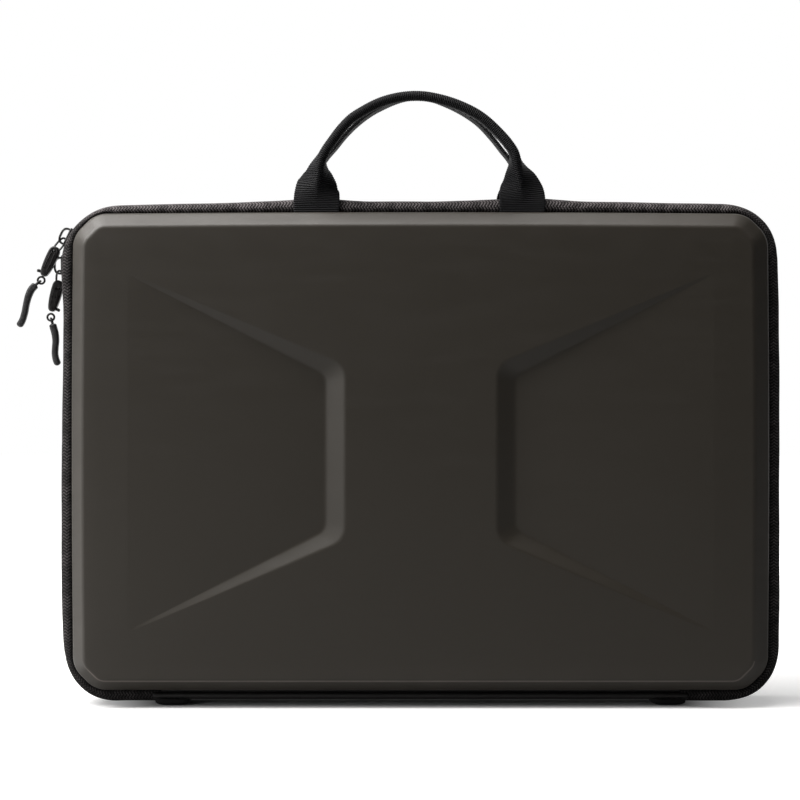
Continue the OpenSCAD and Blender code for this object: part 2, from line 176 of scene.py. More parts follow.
def inside(points, loops):
    """Which points lie inside loops[0] and outside the rest, all as rows of x and z."""
    x, z = points[:, 0, None], points[:, 1, None]
    odd = []
    for loop in loops:
        ax, az = loop[:, 0], loop[:, 1]
        bx, bz = np.roll(ax, -1), np.roll(az, -1)
        spans = (az > z) != (bz > z)
        with np.errstate(divide="ignore", invalid="ignore"):
            hit = x < (bx - ax) * (z - az) / (bz - az) + ax
        odd.append((spans & hit).sum(1) % 2 == 1)
    return odd[0] & ~np.any(odd[1:], axis=0) if odd[1:] else odd[0]


def flip_slivers(points, faces):
    """Swaps the long edge of every triangle without height, and drops those that lie along the outside."""
    faces = [tuple(f) for f in faces]
    owner = {(f[k], f[k - 2]): i for i, f in enumerate(faces) for k in range(3)}
    todo, flat = list(range(len(faces))), set()
    for i in todo:
        f = faces[i]
        sides = [points[f[k - 2]] - points[f[k]] for k in range(3)]
        k = int(np.argmax([np.hypot(*e) for e in sides]))
        area = sides[0][0] * sides[1][1] - sides[0][1] * sides[1][0]
        flat.discard(i)
        if abs(area) > 2e-3 * np.hypot(*sides[k]):
            continue
        a, b, c = f[k], f[k - 2], f[k - 1]
        j = owner.get((b, a))
        if j is None or len(todo) > 9 * len(faces):
            flat.add(i)
            continue
        d = next(v for v in faces[j] if v not in (a, b))
        del owner[a, b], owner[b, a]
        faces[i], faces[j] = (a, d, c), (d, b, c)
        for n in (i, j):
            owner.update({(faces[n][m], faces[n][m - 2]): n for m in range(3)})
        todo += [i, j]
    return [f for i, f in enumerate(faces) if i not in flat]


def tilt(degrees):
    """A turn about +Y, as a 4 by 4 matrix."""
    return np.array(Matrix.Rotation(math.radians(degrees), 4, "Y"))


def shift(x, y, z):
    return np.array(Matrix.Translation((x, y, z)))


# ---------------- meshes


class Shape:
    """Vertices, faces and a UV in millimetres for every corner of every face."""

    def __init__(self):
        self.v, self.f, self.uv, self.count = [], [], [], 0

    def add(self, points):
        first = self.count
        points = np.asarray(points, float).reshape(-1, 3)
        self.v.append(points)
        self.count += len(points)
        return first

    def face(self, corners):
        self.f.append(corners)
        self.uv.append([[0, 0]] * len(corners))

    def cap(self, points):
        """One flat face through points."""
        first = self.add(points)
        self.face(list(range(first, first + len(points))))

    def grid(self, rows, us=None, vs=None, loop=False, caps=False):
        """A net of quads through closed rows of points. us and vs are the UV lines of rows and columns."""
        rows = np.asarray(rows, float)
        m, n = rows.shape[:2]
        first = self.add(rows)
        us = np.zeros(m + 1) if us is None else np.asarray(us)
        vs = np.zeros(n + 1) if vs is None else np.asarray(vs)
        i, j = np.indices((m if loop else m - 1, n)).reshape(2, -1)
        near, far, after = first + i * n, first + (i + 1) % m * n, (j + 1) % n
        self.f += np.stack([near + j, near + after, far + after, far + j], 1).tolist()
        uv = np.stack([us[i], vs[j], us[i], vs[j + 1], us[i + 1], vs[j + 1], us[i + 1], vs[j]], 1)
        self.uv += uv.reshape(-1, 4, 2).tolist()
        if caps:
            self.cap(rows[0])
            self.cap(rows[-1])

    def fill(self, loops, place, spacing=0.0):
        """Triangles inside loops[0] and outside the rest. place turns rows of (x, z) into points."""
        coordinates, edges = [], []
        for loop in loops:
            first, n = len(coordinates), len(loop)
            coordinates += [Vector(p) for p in loop]
            edges += [(first + i, first + (i + 1) % n) for i in range(n)]
        if spacing:
            low, high = loops[0].min(0), loops[0].max(0)
            ticks = [np.arange(a + spacing / 2, b, spacing) for a, b in zip(low, high)]
            p = np.stack([axis.ravel() for axis in np.meshgrid(*ticks)], 1)
            keep = inside(p, loops)
            for loop in loops:
                keep &= np.linalg.norm(p[:, None] - loop[None], axis=2).min(1) > spacing * 0.45
            coordinates += [Vector(q) for q in p[keep]]
        points, _, faces, *_ = delaunay_2d_cdt(coordinates, edges, [], 0, 1e-5)
        points = np.array([tuple(p) for p in points])
        faces = flip_slivers(points, faces)
        keep = inside(np.array([points[list(f)].mean(0) for f in faces]), loops)
        first = self.add(place(points))
        for f, k in zip(faces, keep):
            if k:
                self.face([first + i for i in f])

    def move(self, matrix):
        self.v = [p @ matrix[:3, :3].T + matrix[:3, 3] for p in self.v]
        return self

    def build(self, name, material, body, slot, weld=0.004):
        """The object: welded, with its faces turned outwards, smooth, and riding on its body."""
        mesh = bpy.data.meshes.new(name)
        mesh.from_pydata((np.concatenate(self.v) * MM).tolist(), [], self.f)
        uv = mesh.uv_layers.new(name="weave")
        flat = np.array([x for face in self.uv for corner in face for x in corner])
        uv.data.foreach_set("uv", flat.astype(np.float32))
        bm = bmesh.new()
        bm.from_mesh(mesh)
        bmesh.ops.remove_doubles(bm, verts=bm.verts, dist=weld * MM)
        loose = [x for x in bm.verts if not x.link_faces]
        bmesh.ops.delete(bm, geom=loose, context="VERTS")
        bmesh.ops.recalc_face_normals(bm, faces=bm.faces)
        bm.to_mesh(mesh)
        bm.free()
        mesh.polygons.foreach_set("use_smooth", [True] * len(mesh.polygons))
        mesh.materials.append(material)
        obj = bpy.data.objects.new(name, mesh)
        bpy.context.scene.collection.objects.link(obj)
        if body:
            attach(obj, body)
        return obj


def round_section(a, b, r, n=4):
    """A rounded rectangle a by b about the origin, as rows of two."""
    x, y = a / 2, b / 2
    return closed_outline([(-x, -y, r), (x, -y, r), (x, y, r), (-x, y, r)], n, [0, 0, 0, 0])


def tube(shape, path, section, side, closed=False, scale=1.0):
    """Sweeps a closed section along a path. side is its second axis, so the first is across both."""
    path = np.asarray(path, float)
    along = headings(path, closed)
    across = np.cross(np.broadcast_to(np.asarray(side, float), path.shape), along)
    across /= np.linalg.norm(across, axis=1)[:, None]
    up = np.cross(along, across)
    scale = np.broadcast_to(scale, len(path))[:, None, None]
    rows = path[:, None] + scale * (
        section[None, :, 0, None] * across[:, None] + section[None, :, 1, None] * up[:, None]
    )
    shape.grid(rows, lengths(path, closed), lengths(section, True), closed, caps=not closed)


def plate(shape, loops, half, bevel, steps):
    """A slab between y = -half and y = half with rounded edges. loops[0] is outside, the rest are holes."""
    turns = np.linspace(0, math.pi / 2, steps + 1)
    rim = [(bevel * (1 - math.sin(t)), half - bevel * (1 - math.cos(t))) for t in turns]
    profile = [(inset, -y) for inset, y in rim] + rim[::-1]
    ends = []
    for k, loop in enumerate(loops):
        loop = np.asarray(loop, float)
        after = np.roll(loop, -1, 0)
        area = (loop[:, 0] * after[:, 1] - after[:, 0] * loop[:, 1]).sum()
        inward = square_to(loop, True) * (-1 if (area > 0) == (k == 0) else 1)
        rows = [np.insert(loop + inward * inset, 1, y, axis=1) for inset, y in profile]
        shape.grid(rows)
        ends.append([row[:, [0, 2]] for row in (rows[0], rows[-1])])
    for loops_at_end, y in zip(zip(*ends), (-half, half)):
        shape.fill(loops_at_end, lambda p, y=y: np.insert(p, 1, y, axis=1))


def stitches(shape, points, normal, length, gap, r):
    """A row of thread stitches along a line, standing out along normal."""
    points = np.asarray(points, float)
    s = lengths(points)
    u = np.linspace(0, 1, 6)
    bulge = np.sin(math.pi * u)
    at = 0.0
    while at + length <= s[-1]:
        path = np.stack([np.interp(at + u * length, s, points[:, k]) for k in range(3)], 1)
        path += unit(normal) * (0.9 * r * bulge - 0.45 * r)[:, None]
        tube(shape, path, circle(6) * r, unit(normal), scale=0.35 + 0.65 * bulge)
        at += length + gap


# ---------------- materials

WHITE = (1, 1, 1, 1)


def linear(rgb):
    """Linear colour from the numbers 0 to 255 of a picture."""
    return [(c / 255 / 12.92 if c <= 10 else ((c / 255 + 0.055) / 1.055) ** 2.4) for c in rgb] + [1.0]


class Net:
    """A node tree with short calls for its nodes. Values are numbers, colours or other nodes' outputs."""

    def __init__(self, tree):
        self.nodes, self.links = tree.nodes, tree.links

    def put(self, socket, value):
        if isinstance(value, bpy.types.NodeSocket):
            self.links.new(value, socket)
        else:
            socket.default_value = value

    def node(self, kind, inputs=(), **settings):
        """The outputs of a new node."""
        node = self.nodes.new("ShaderNode" + kind)
        for key, value in settings.items():
            setattr(node, key, value)
        for key, value in dict(inputs).items():
            self.put(node.inputs[key], value)
        return node.outputs

    def math(self, operation, *values):
        return self.node("Math", enumerate(values), operation=operation)[0]

    def times(self, a, b):
        return self.math("MULTIPLY", a, b)

    def line(self, value, slope, start):
        return self.math("MULTIPLY_ADD", value, slope, start)

    def size(self, value):
        return self.math("ABSOLUTE", value)

    def fit(self, value, a, b, to=(0.0, 1.0)):
        """A soft step: to[0] where value is a, to[1] where it is b."""
        ends = {"From Min": a, "From Max": b, "To Min": to[0], "To Max": to[1]}
        return self.node("MapRange", {"Value": value, **ends}, interpolation_type="SMOOTHSTEP")[0]

    def place(self):
        """Object coordinates in metres."""
        return self.node("TexCoord")["Object"]

    def split(self, vector):
        return self.node("SeparateXYZ", {0: vector})

    def weave(self):
        """U and V in millimetres."""
        u, v, _ = self.split(self.node("UVMap", uv_map="weave")[0])
        return u, v

    def noise(self, vector, scale, detail, rough=0.5):
        inputs = {"Vector": vector, "Scale": scale, "Detail": detail, "Roughness": rough}
        return self.node("TexNoise", inputs)[0]

    def mix(self, factor, a, b):
        """A colour between a and b."""
        return self.node("Mix", {0: factor, 6: a, 7: b}, data_type="RGBA")[2]

    def mix_values(self, factor, a, b):
        return self.node("Mix", {0: factor, 2: a, 3: b}, data_type="FLOAT")[0]

    def wave(self, value, pitch):
        """A soft wave from 0 to 1 with a given pitch."""
        return self.line(self.math("SINE", self.times(value, 2 * math.pi / pitch)), 0.5, 0.5)

    def rays(self):
        """Whether a ray comes from the camera, and whether it comes from a shiny or clear surface."""
        path = self.node("LightPath")
        shiny = self.math("MAXIMUM", path["Is Glossy Ray"], path["Is Transmission Ray"])
        return path["Is Camera Ray"], shiny


class Surface(Net):
    """The node material of one kind of surface."""

    def __init__(self, name, specular):
        self.material = bpy.data.materials.new(name)
        self.material.use_nodes = True
        super().__init__(self.material.node_tree)
        self.inputs = self.nodes["Principled BSDF"].inputs
        self.put(self.inputs["Specular IOR Level"], specular)
        self.normal = {}

    def finish(self, color, roughness, *reliefs):
        """Sets the look. A relief is (height from 0 to 1, the depth in mm that 1 stands for, strength)."""
        self.put(self.inputs["Base Color"], color)
        self.put(self.inputs["Roughness"], roughness)
        for height, depth, strength in reliefs:
            inputs = {"Strength": strength, "Distance": depth * MM, "Height": height}
            self.normal = {"Normal": self.node("Bump", {**inputs, **self.normal})[0]}
        self.put(self.inputs["Normal"], self.normal["Normal"])
        return self.material


def shell_skin():
    """Soft-touch coated fabric over foam: matt, faintly mottled, with a very fine grain."""
    net = Surface("shell_skin", 0.5)
    at = net.place()
    fine = net.noise(at, 900, 2, 0.6)
    grain = net.node("TexVoronoi", {"Vector": at, "Scale": 2600})["Distance"]
    # The mesh's wear and highlight values: up to 1 is rubbed wear, and 1 to 2 is a painted highlight line
    # over the bottom chamfer.
    worn = net.node("Attribute", attribute_name="edge")["Fac"]
    rubbed = net.times(worn, net.fit(net.noise(at, 55, 4), 0.3, 0.75, (0.2, 0.5)))
    base = net.mix(net.noise(at, 9, 3, 0.55), linear((47, 43, 36)), linear((51, 47, 40)))
    base = net.mix(net.times(fine, 0.25), base, linear((58, 53, 48)))
    base = net.mix(rubbed, base, linear((70, 65, 60)))
    # Painted highlight: a light line along the crease over the bottom chamfer.
    base = net.mix(net.fit(worn, 1.0, 2.0, (0.0, 0.75)), base, linear((116, 107, 101)))
    long_grain = net.node("Mapping", {0: at, "Scale": (30, 30, 190)})[0]
    scuff = net.fit(net.noise(long_grain, 1.0, 4, 0.7), 0.35, 0.8)
    return net.finish(base, net.line(scuff, 0.07, 0.43), (grain, 0.03, 0.5), (fine, 0.05, 0.4))


def band_weave():
    """Herringbone zipper tape. U runs along the band and V across it."""
    net = Surface("band_weave", 0.22)
    pitch, turn, ply = 1.7, 1.3, 0.62
    u, v = net.weave()
    lean = net.math("PINGPONG", v, turn)
    yarn = net.wave(net.math("ADD", u, lean), pitch)
    cross = net.wave(net.math("SUBTRACT", u, lean), pitch)
    height = net.times(net.math("POWER", yarn, 1.2), net.line(cross, 0.45, 0.55))
    height = net.times(height, net.line(net.wave(v, ply), 0.4, 0.6))
    worn = net.fit(net.noise(net.place(), 260, 3, 0.6), 0.3, 0.75, (0.35, 1.35))
    # The band is lighter along its top and darker low down: painted light from above and painted shade near
    # the floor. Heights are in metres.
    _, _, z = net.split(net.place())
    painted_top_light_low_shade = net.times(net.fit(z, 0.262, 0.272, (0.68, 1.75)), net.fit(z, 0.02, 0.06, (0.65, 1.0)))
    # Painted highlight and shade: raised yarns are lighter and hollows darker, along with random tone from
    # worn and the painted top light and low shade.
    painted_light_and_tone = net.times(net.times(height, worn), painted_top_light_low_shade)
    base = net.mix(painted_light_and_tone, linear((8, 8, 8)), linear((118, 112, 113)))
    # Painted shade: near black in and under the groove by the shell's edge, fading out across the band.
    base = net.mix(net.fit(v, 2.2, 5.0), linear((1, 1, 1)), base)
    return net.finish(base, net.fit(height, 0.0, 1.0, (0.85, 0.62)), (height, 0.3, 0.9))


def ribbed(name, dark, light, pitch, thread, roughness, depth, specular=0.4, sharp=0.7):
    """Ribbed webbing, ribbon or elastic: ribs across U, with fine yarns along it."""
    net = Surface(name, specular)
    u, v = net.weave()
    rib = net.math("POWER", net.wave(u, pitch), sharp)
    offset = net.times(net.math("FLOOR", net.math("DIVIDE", u, pitch)), thread / 2)
    yarn = net.wave(net.math("ADD", v, offset), thread)
    height = net.times(rib, net.line(yarn, 0.4, 0.6))
    fuzz = net.noise(net.place(), 700, 3, 0.65)
    # Painted highlight and shade: the colour is lighter on the crests of the ribs and yarns and darker in the
    # hollows between them.
    base = net.mix(net.times(height, net.line(fuzz, 0.8, 0.4)), linear(dark), linear(light))
    return net.finish(base, net.line(fuzz, 0.2, roughness - 0.1), (height, depth, 0.9))


def lining_cloth():
    """Plain woven polyester, with a slight crumple."""
    net = Surface("lining_cloth", 0.3)
    x, y, z = net.split(net.place())
    warp, weft = (net.wave(net.math("ADD", axis, y), 0.8 * MM) for axis in (x, z))
    height = net.math("MAXIMUM", warp, weft)
    soft = net.noise(net.place(), 28, 4, 0.6)
    base = net.mix(soft, linear((68, 68, 70)), linear((84, 84, 86)))
    base = net.mix(net.times(height, 0.3), base, linear((104, 104, 106)))
    return net.finish(base, net.line(soft, 0.12, 0.74), (height, 0.12, 0.6), (soft, 0.6, 0.5))


def plastic(name, dark, light, roughness, grain=1500, specular=0.5, depth=0.03):
    """Moulded plastic, painted metal or rubber: fine grain and handling marks."""
    net = Surface(name, specular)
    at = net.place()
    fine = net.noise(at, grain, 3, 0.6)
    marks = net.fit(net.noise(at, 420, 5, 0.65), 0.35, 0.7)
    base = net.mix(marks, linear(dark), linear(light))
    return net.finish(base, net.line(marks, 0.14, roughness - 0.07), (fine, depth, 0.5))


def mesh_yarn():
    """Twisted black yarn of a knitted net."""
    net = Surface("mesh_yarn", 0.3)
    x, _, z = net.split(net.place())
    twist = net.wave(net.math("ADD", x, z), 0.5 * MM)
    base = net.mix(twist, linear((24, 24, 25)), linear((58, 58, 60)))
    return net.finish(base, net.fit(twist, 0, 1, (0.8, 0.6)), (twist, 0.08, 0.6))


SKIN = shell_skin()
WEAVE = band_weave()
WEBBING = ribbed("webbing_ribs", (1, 1, 1), (46, 46, 50), 1.0, 0.55, 0.6, 0.12, 0.15, 2.4)
RIBBON = ribbed("binding_ribbon", (17, 17, 17), (52, 51, 50), 0.55, 0.5, 0.75, 0.08)
ELASTIC = ribbed("elastic_ribs", (14, 14, 15), (46, 46, 49), 0.9, 0.7, 0.7, 0.2)
SPINE = ribbed("spine_fabric", (14, 13, 13), (38, 36, 35), 0.6, 0.6, 0.5, 0.05)
# Painted shade: the feet are a darker copy of the spine's fabric, for the shade low by the floor.
FOOT_SHADED = ribbed("foot_fabric_shaded", (4, 4, 4), (17, 16, 16), 0.6, 0.6, 0.6, 0.05, 0.25)
LINING = lining_cloth()
COIL = plastic("coil_nylon", (16, 16, 17), (34, 34, 36), 0.34)
METAL = plastic("slider_paint", (14, 14, 15), (34, 33, 33), 0.3, 900, 0.6)
HOOK = plastic("hook_plastic", (15, 13, 13), (27, 25, 25), 0.34)
RUBBER = plastic("tail_rubber", (30, 30, 31), (44, 44, 46), 0.48, 2200, 0.5, 0.05)
THREAD = ribbed("thread_twist", (20, 20, 21), (62, 61, 60), 0.5, 0.4, 0.65, 0.05)
YARN = mesh_yarn()

# ---------------- outlines of shell and band


def shell_loop(inset):
    """The shell's outline with faintly bowed sides, drawn in by inset: less at the bottom, more elsewhere."""
    left, right = SHELL_X - 0.83 * inset, SHELL_X - 1.1 * inset
    low, high = SHELL_LOW + 0.74 * inset, SHELL_TOP - 0.9 * inset
    clip = CLIP - inset * (2 - math.sqrt(2)) * 0.7
    r = max(CORNER_R - 0.9 * inset, 6.0)
    corners = [
        (-left + clip, low, r), (right - clip, low, r), (right, low + clip, r), (right, high - clip, r),
        (right - clip, high, r), (-left + clip, high, r), (-left, high - clip, r), (-left, low + clip, r),
    ]
    loop = closed_outline(corners, 9, [34, 2, 22, 2] * 2)
    near_x, near_z = loop[:, 0] / left, (loop[:, 1] - MID_Z) / (high - MID_Z)
    bow_x = 0.9 * np.clip(1 - near_z**2, 0, None) * np.clip(np.abs(near_x) * 4 - 3, 0, 1) * np.sign(near_x)
    bow_z = 1.0 * np.clip(1 - near_x**2, 0, None) * np.clip(near_z * 4 - 3, 0, 1)
    return loop + np.stack([bow_x, bow_z], 1)


def shell_rows(profile, side):
    """Rings of a shell through steps (inset, distance from the middle)."""
    return np.array([np.insert(shell_loop(inset), 1, side * y, axis=1) for inset, y in profile])


# The band's line, from the end cover on the right, up, over the top and down to the left.
BAND_END = 141.0
BAND_LINE = open_path(
    [
        (BAND_END, BAND_LOW), (BAND_X, BAND_LOW, BAND_R), (BAND_X, BAND_TOP, BAND_R),
        (-BAND_X, BAND_TOP, BAND_R), (-BAND_X, BAND_LOW, BAND_R), (-BAND_END, BAND_LOW),
    ],
    20, 4.0,
)
BAND_OUT = square_to(BAND_LINE)

# How far the soft band stands out beyond its plain outline, at running lengths along BAND_LINE.
SWELL = [
    (0, 0.8), (23, 0.8), (30, 1.3), (38, 2.2), (44, 2.5), (53, 2.2), (66, 1.1), (72, 0.8), (99, 1.0),
    (225, 1.0), (255, 0.7), (281, 0.0), (284, 0.0), (296, 0.9), (301, 1.1), (310, 1.1), (324, 0.4),
    (328, 0.3), (396, 1.4), (406, 1.7), (427, 3.3), (435, 3.5), (442, 3.3), (463, 2.1), (486, 1.5),
    (521, 1.7), (529, 2.1), (542, 3.0), (550, 3.2), (572, 1.8), (590, 1.0), (642, -0.1), (659, -0.7),
    (678, -0.2), (690, 0.5), (710, 1.0), (716, 0.9), (729, 0.0), (737, -0.2), (754, -0.1), (811, 0.9),
    (885, 0.9), (895, 0.7), (915, -0.3), (920, -0.2), (933, 1.2), (943, 1.7), (949, 1.6), (962, 0.8),
    (984, 0.8),
]


def band_swell():
    u = lengths(BAND_LINE)
    at, out = np.array(SWELL).T
    return np.interp(u * at[-1] / u[-1], at, out) + 0.12 * np.sin(u / 9.0) * np.sin(u / 23.0 + 1)


def band_rows(profile, side):
    """Rings of the band through steps (inset, distance from the middle). Inset 5 is the shell's edge."""
    swell, lip = band_swell(), 0.8
    reach = np.linalg.norm(BAND_LINE[:, None] - shell_loop(0)[None], axis=2).min(1) - 0.45
    reach = np.clip(reach, 3.0, 6.5)
    rows = []
    for inset, y in profile:
        drawn_in = np.where(inset < lip, inset, lip + (inset - lip) * (reach - lip) / 4.2)
        out = swell * np.clip((5.0 - inset) / 4.0, 0, 1) - drawn_in
        rows.append(np.insert(BAND_LINE + BAND_OUT * out[:, None], 1, side * y, axis=1))
    return np.array(rows).transpose(1, 0, 2)


# ---------------- the two shells

TIP_X, TIP_Z, WAIST_X, WAIST_Z = 158.0, 97.0, 41.0, 47.0
PANEL_DEPTH, SLOPE, PANEL_R = 4.2, 10.0, 11.0
FLOOR_X, FLOOR_Z = WAIST_X + SLOPE, WAIST_Z - SLOPE / 2
FLOOR_TIP = 2.2
EASE = 0.13
FACE_NET = 14


def panel_plane(x):
    return PANEL_DEPTH * (np.clip(TIP_X - np.abs(x), 0, None) / (TIP_X - FLOOR_X)) ** 1.1


def panel_rings(hand):
    """Rings of a sunken panel, from just outside its rim to just inside its floor, with their depths."""

    def outline(tip_x, tip_z, waist_x, waist_z, r):
        corners = [(-tip_x, -tip_z, 2), (-waist_x, -waist_z, r), (-waist_x, waist_z, r), (-tip_x, tip_z, 2)]
        return closed_outline(corners, 8, [26, 14, 26, 10])

    top = outline(TIP_X, TIP_Z, WAIST_X, WAIST_Z, PANEL_R)
    bottom = outline(TIP_X - FLOOR_TIP, TIP_Z - FLOOR_TIP, FLOOR_X, FLOOR_Z, PANEL_R * 0.7)
    steps = sorted(
        {-EASE - 0.04, 1 + EASE + 0.04, 0.35, 0.65}
        | set(np.round(np.linspace(-EASE, EASE, 6), 4))
        | set(np.round(np.linspace(1 - EASE, 1 + EASE, 6), 4))
    )
    rings, depths = [], []
    for s in steps:
        p = top + (bottom - top) * s
        if s < EASE:
            fall = max(s + EASE, 0) ** 2 / (4 * EASE)
        elif s > 1 - EASE:
            fall = 1 - max(1 + EASE - s, 0) ** 2 / (4 * EASE)
        else:
            fall = s
        depths.append(fall * panel_plane(p[:, 0]))
        rings.append(p * [-hand, 1])
    return rings, depths


def make_shell(side, panels):
    """A tray with a rolled rim, a chamfer and, on the front, sunken panels."""

    def sunk(p, depth):
        return np.stack([p[:, 0], side * (FACE_Y - depth), MID_Z + p[:, 1]], 1)

    shape = Shape()
    inner = [(10.4, 16.0), (9.0, 15.6), (4.0, 13.8), (3.2, 12.8), (3.0, 10.5)]
    rim = fillet([(3.0, 10.5, 0), (3.0, 10.0, 0.45), (0.0, 10.0, 0.9), (0.0, 11.5, 0)])
    outer = [(0.0, 11.5, 0), (0.0, SIDE_Y, 3.4), (CHAMFER, FACE_Y, 4.4), (CHAMFER + 4.5, FACE_Y, 0)]
    rows = shell_rows(inner + rim[1:-1] + fillet(outer, 8), side)
    shape.grid(rows)
    shape.cap(rows[0])
    loops = [rows[-1][:, [0, 2]]]
    for hand in panels:
        rings, depths = panel_rings(hand)
        loops.append(rings[0] + [0, MID_Z])
        shape.grid([sunk(p, d) for p, d in zip(rings, depths)])
        shape.fill([rings[-1]], lambda p: sunk(p, panel_plane(p[:, 0])), FACE_NET)
    shape.fill(loops, lambda p: np.insert(p, 1, side * FACE_Y, axis=1), FACE_NET)
    obj = shape.build(f"shell_{NAMES[side]}_skin", SKIN, BODIES[side], "shell")
    mesh = obj.data
    co = np.empty(len(mesh.vertices) * 3)
    mesh.vertices.foreach_get("co", co)
    x, y, z = np.abs(co.reshape(-1, 3).T / MM)
    # Values for the material: rubbed wear on the edges round the outside, and a painted highlight line over
    # the bottom chamfer.
    edge = bell(y, FACE_Y - 0.8, 0.7) + bell(y, SIDE_Y, 1.2)
    edge *= (x > 175) | (np.abs(z - MID_Z) > 115)
    # Painted highlight: the light line over the bottom chamfer, stored as values from 1 to 2.
    edge += 2.0 * bell(y, FACE_Y - 0.5, 0.25) * (z < 26) * smooth((185 - x) / 12)
    layer = mesh.attributes.new("edge", "FLOAT", "POINT")
    layer.data.foreach_set("value", np.clip(edge, 0, 2).astype(np.float32))
    return obj


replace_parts(make_shell(FRONT, (-1, 1)), "shell_front")
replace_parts(make_shell(REAR, ()), "shell_rear")

# ---------------- the zipper band

BAND_SKIN = [
    (7.0, 9.3), (5.9, 8.9), (5.3, 8.3), (4.9, 8.3), (4.5, 8.9), (3.9, 9.5), (3.2, 9.8),
    (2.5, 9.75), (1.8, 9.45), (1.15, 8.9), (0.6, 8.1), (0.2, 7.2), (0.0, 6.2), (0.08, 5.2), (0.4, 4.2),
    (0.8, 3.4), (0.9, 2.0), (0.9, 0.35),
    (2.1, 0.35), (2.2, 4.0), (2.3, 6.4), (3.0, 7.4), (4.6, 7.2), (7.0, 7.8),
]
# One nylon loop a tooth, leaning over the edge of the tape: (inset, distance from the middle, run along it).
TOOTH = [
    (0.95, 3.1, -0.25), (0.5, 3.0, -0.3), (0.3, 2.2, -0.3), (0.3, 0.9, -0.2), (0.45, 0.3, 0.0),
    (0.8, 0.3, 0.15),
]
# The ribbon rolled over the raw edges inside.
RIBBON_ROLL = [
    (3.4, 9.4, 0), (3.4, 7.4, 0.8), (8.0, 7.0, 0.9), (8.0, 9.4, 0.9), (5.0, 9.6, 0.3), (3.4, 9.4, 0),
]

for side, word in NAMES.items():
    body = BODIES[side]
    shape = Shape()
    shape.grid(band_rows(BAND_SKIN, side), lengths(BAND_LINE), lengths(BAND_SKIN, True), caps=True)
    piece = shape.build(f"band_{word}", WEAVE, body, "zipper_tape")
    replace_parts(piece, f"tape_{word}")

    shape = Shape()
    line = resample(BAND_LINE + BAND_OUT * (band_swell() * 0.95)[:, None], 1.5)
    out = square_to(line)
    for k in range(0 if side == FRONT else 1, len(line) - 1, 2):
        t = np.array([out[k, 1], -out[k, 0]])
        loop = [np.insert(line[k] - out[k] * inset + t * run, 1, side * y) for inset, y, run in TOOTH]
        tube(shape, loop, circle(6) * 0.3, (out[k, 0], 0, out[k, 1]))
    piece = shape.build(f"coil_{word}_teeth", COIL, body, "coil", weld=FINE)
    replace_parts(piece, f"coil_{word}")

    shape = Shape()
    section = np.array(fillet(RIBBON_ROLL, 4)[:-1])
    rows = shell_rows(section, side).transpose(1, 0, 2)
    shape.grid(rows, lengths(rows[:, 0], True), lengths(section, True), loop=True)
    piece = shape.build(f"binding_{word}_ribbon", RIBBON, body, "binding")
    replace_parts(piece, f"binding_{word}")
    shape = Shape()
    loop = shell_loop(6.9)
    loop = np.insert(np.append(loop, loop[:1], 0), 1, side * 7.05, axis=1)
    stitches(shape, loop, (0, -side, 0), 2.6, 1.3, 0.3)
    shape.build(f"binding_{word}_stitches", THREAD, body, "binding", weld=FINE)

# ---------------- the linings

LINING_Y, LINING_BACK = 14.0, 14.7

for side, word in NAMES.items():

    def crumpled(p, side=side):
        """The cloth's plane, lifted a little in long soft waves that die out at its edges."""
        x, z = p[:, 0], p[:, 1] - MID_Z
        fade = smooth((170 - np.abs(x)) / 40) * smooth((110 - np.abs(z)) / 40)
        lift = 0.1225 * fade * np.sin(x / 17 + 1.3 * np.sin(z / 31)) * np.sin(z / 23 + x / 60)
        return np.stack([x, side * (LINING_Y + lift), p[:, 1]], 1)

    shape = Shape()
    skin = [(5.4, 8.6, 0), (5.4, 10.3, 1.6), (12.0, LINING_Y, 4.0), (20.0, LINING_Y, 0)]
    front = shell_rows(fillet(skin, 6), side)
    back = shell_rows([(20.0, LINING_BACK), (11.8, LINING_BACK), (4.9, 10.7), (4.8, 8.6)], side)
    shape.grid(front)
    shape.grid(back)
    shape.grid([front[0], back[-1]])
    shape.fill([front[-1][:, [0, 2]]], crumpled, 7)
    shape.fill([back[0][:, [0, 2]]], lambda p, side=side: np.insert(p, 1, side * LINING_BACK, axis=1))
    piece = shape.build(f"lining_{word}_cloth", LINING, BODIES[side], "lining")
    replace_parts(piece, f"lining_{word}")

# ---------------- spine and feet

SPINE_END, FOOT_MID, FOOT_HALF = 145.2, 135.0, 9.8
half_skin = [
    (9.0, 9.3), (8.6, 8.0), (8.8, 7.35), (9.5, 7.25), (10.4, 6.95), (11.0, 6.3), (11.2, 5.5),
    (11.0, 4.7), (10.4, 3.95), (9.5, 3.4), (8.0, 3.05), (6.0, 2.9), (4.0, 2.8), (2.0, 2.75),
]
half_back = [(8.0, 9.3), (7.7, 7.6), (8.1, 6.4), (9.2, 5.9), (9.4, 5.2), (8.6, 4.6), (6.0, 4.2), (2.0, 4.0)]
skin = [(-y, z) for y, z in half_skin] + [(0.0, 2.75)] + half_skin[::-1]
back = half_back + [(0.0, 4.0)] + [(-y, z) for y, z in half_back[::-1]]
section = np.array(skin + back)
xs = np.linspace(-SPINE_END, SPINE_END, 146)
slack = 0.12 * np.sin(xs / 6.3) * np.sin(xs / 17.0)
rows = [
    np.insert(section * [1 + 0.012 * s, 1] + [0, 0.5 * s], 0, x, axis=1) for x, s in zip(xs, slack)
]
shape = Shape()
shape.grid(rows, xs, lengths(section, True), caps=True)
spine = shape.build("spine_cloth", SPINE, None, "zipper_tape")
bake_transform(spine)
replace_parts(spine, "spine_front", "spine_rear")

